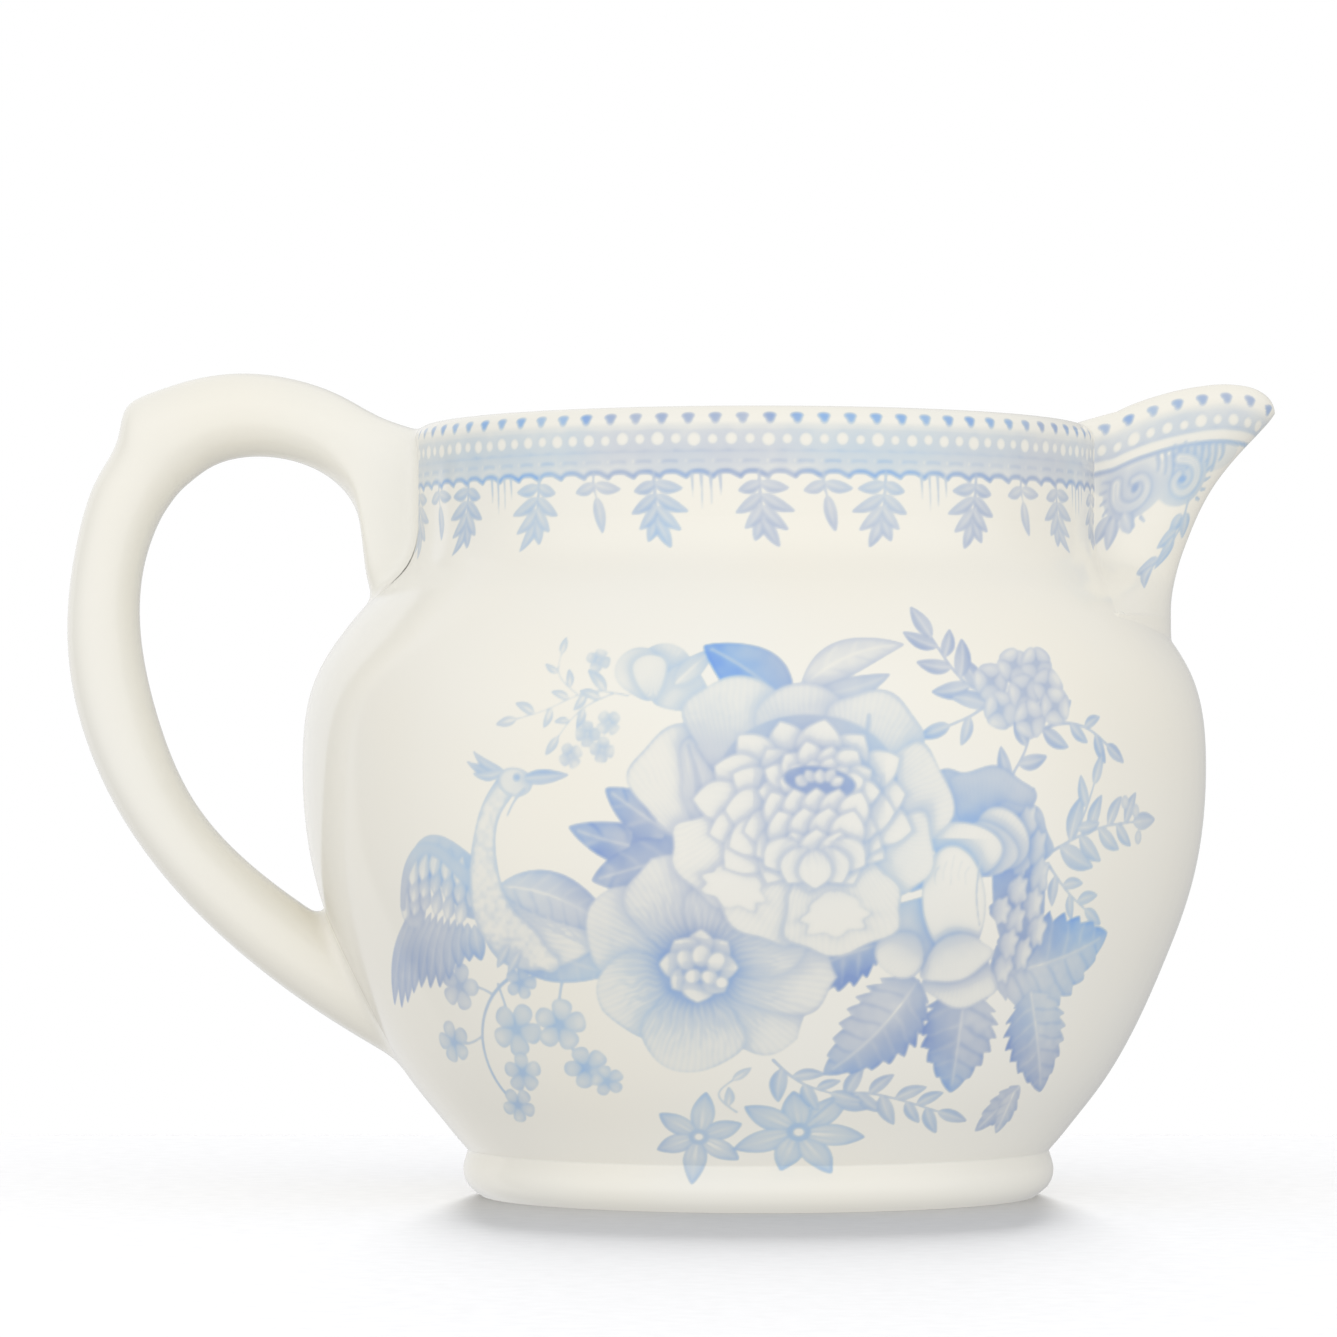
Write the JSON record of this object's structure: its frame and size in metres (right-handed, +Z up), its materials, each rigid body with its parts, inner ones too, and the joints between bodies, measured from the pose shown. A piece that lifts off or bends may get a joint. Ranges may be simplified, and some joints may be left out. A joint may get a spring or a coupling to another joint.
{
  "type": "cream jug",
  "caption": "Small round-bodied cream jug in glazed china with a raised pouring spout, a loop handle with a thumb spur and a low foot ring.",
  "frame": {"origin": "on the resting plane, below the middle of the whole jug's bounding box; the axis of the turned body stands 8.1 mm towards the spout from it", "axes": "+X from the handle towards the spout, +Z up along the body's axis, +Y across the jug so that the handle is at the left seen from -Y"},
  "size_m": [0.1149, 0.0856, 0.0779],
  "materials": {
    "body_glaze": "glossy cream glaze over pale blue transfer print",
    "foot_glaze": "glossy cream glaze, sole lightly matt",
    "spout_glaze": "glossy cream glaze over pale blue transfer print",
    "handle_glaze": "glossy plain cream glaze",
    "slip_joint": "fired slip under glossy cream glaze"
  },
  "bodies": {
    "root": {"jug_body": "body_glaze", "foot_ring": "foot_glaze", "pouring_spout": "spout_glaze", "handle": "handle_glaze", "handle_upper_luting": "slip_joint", "handle_lower_luting": "slip_joint"}
  },
  "joints": []
}
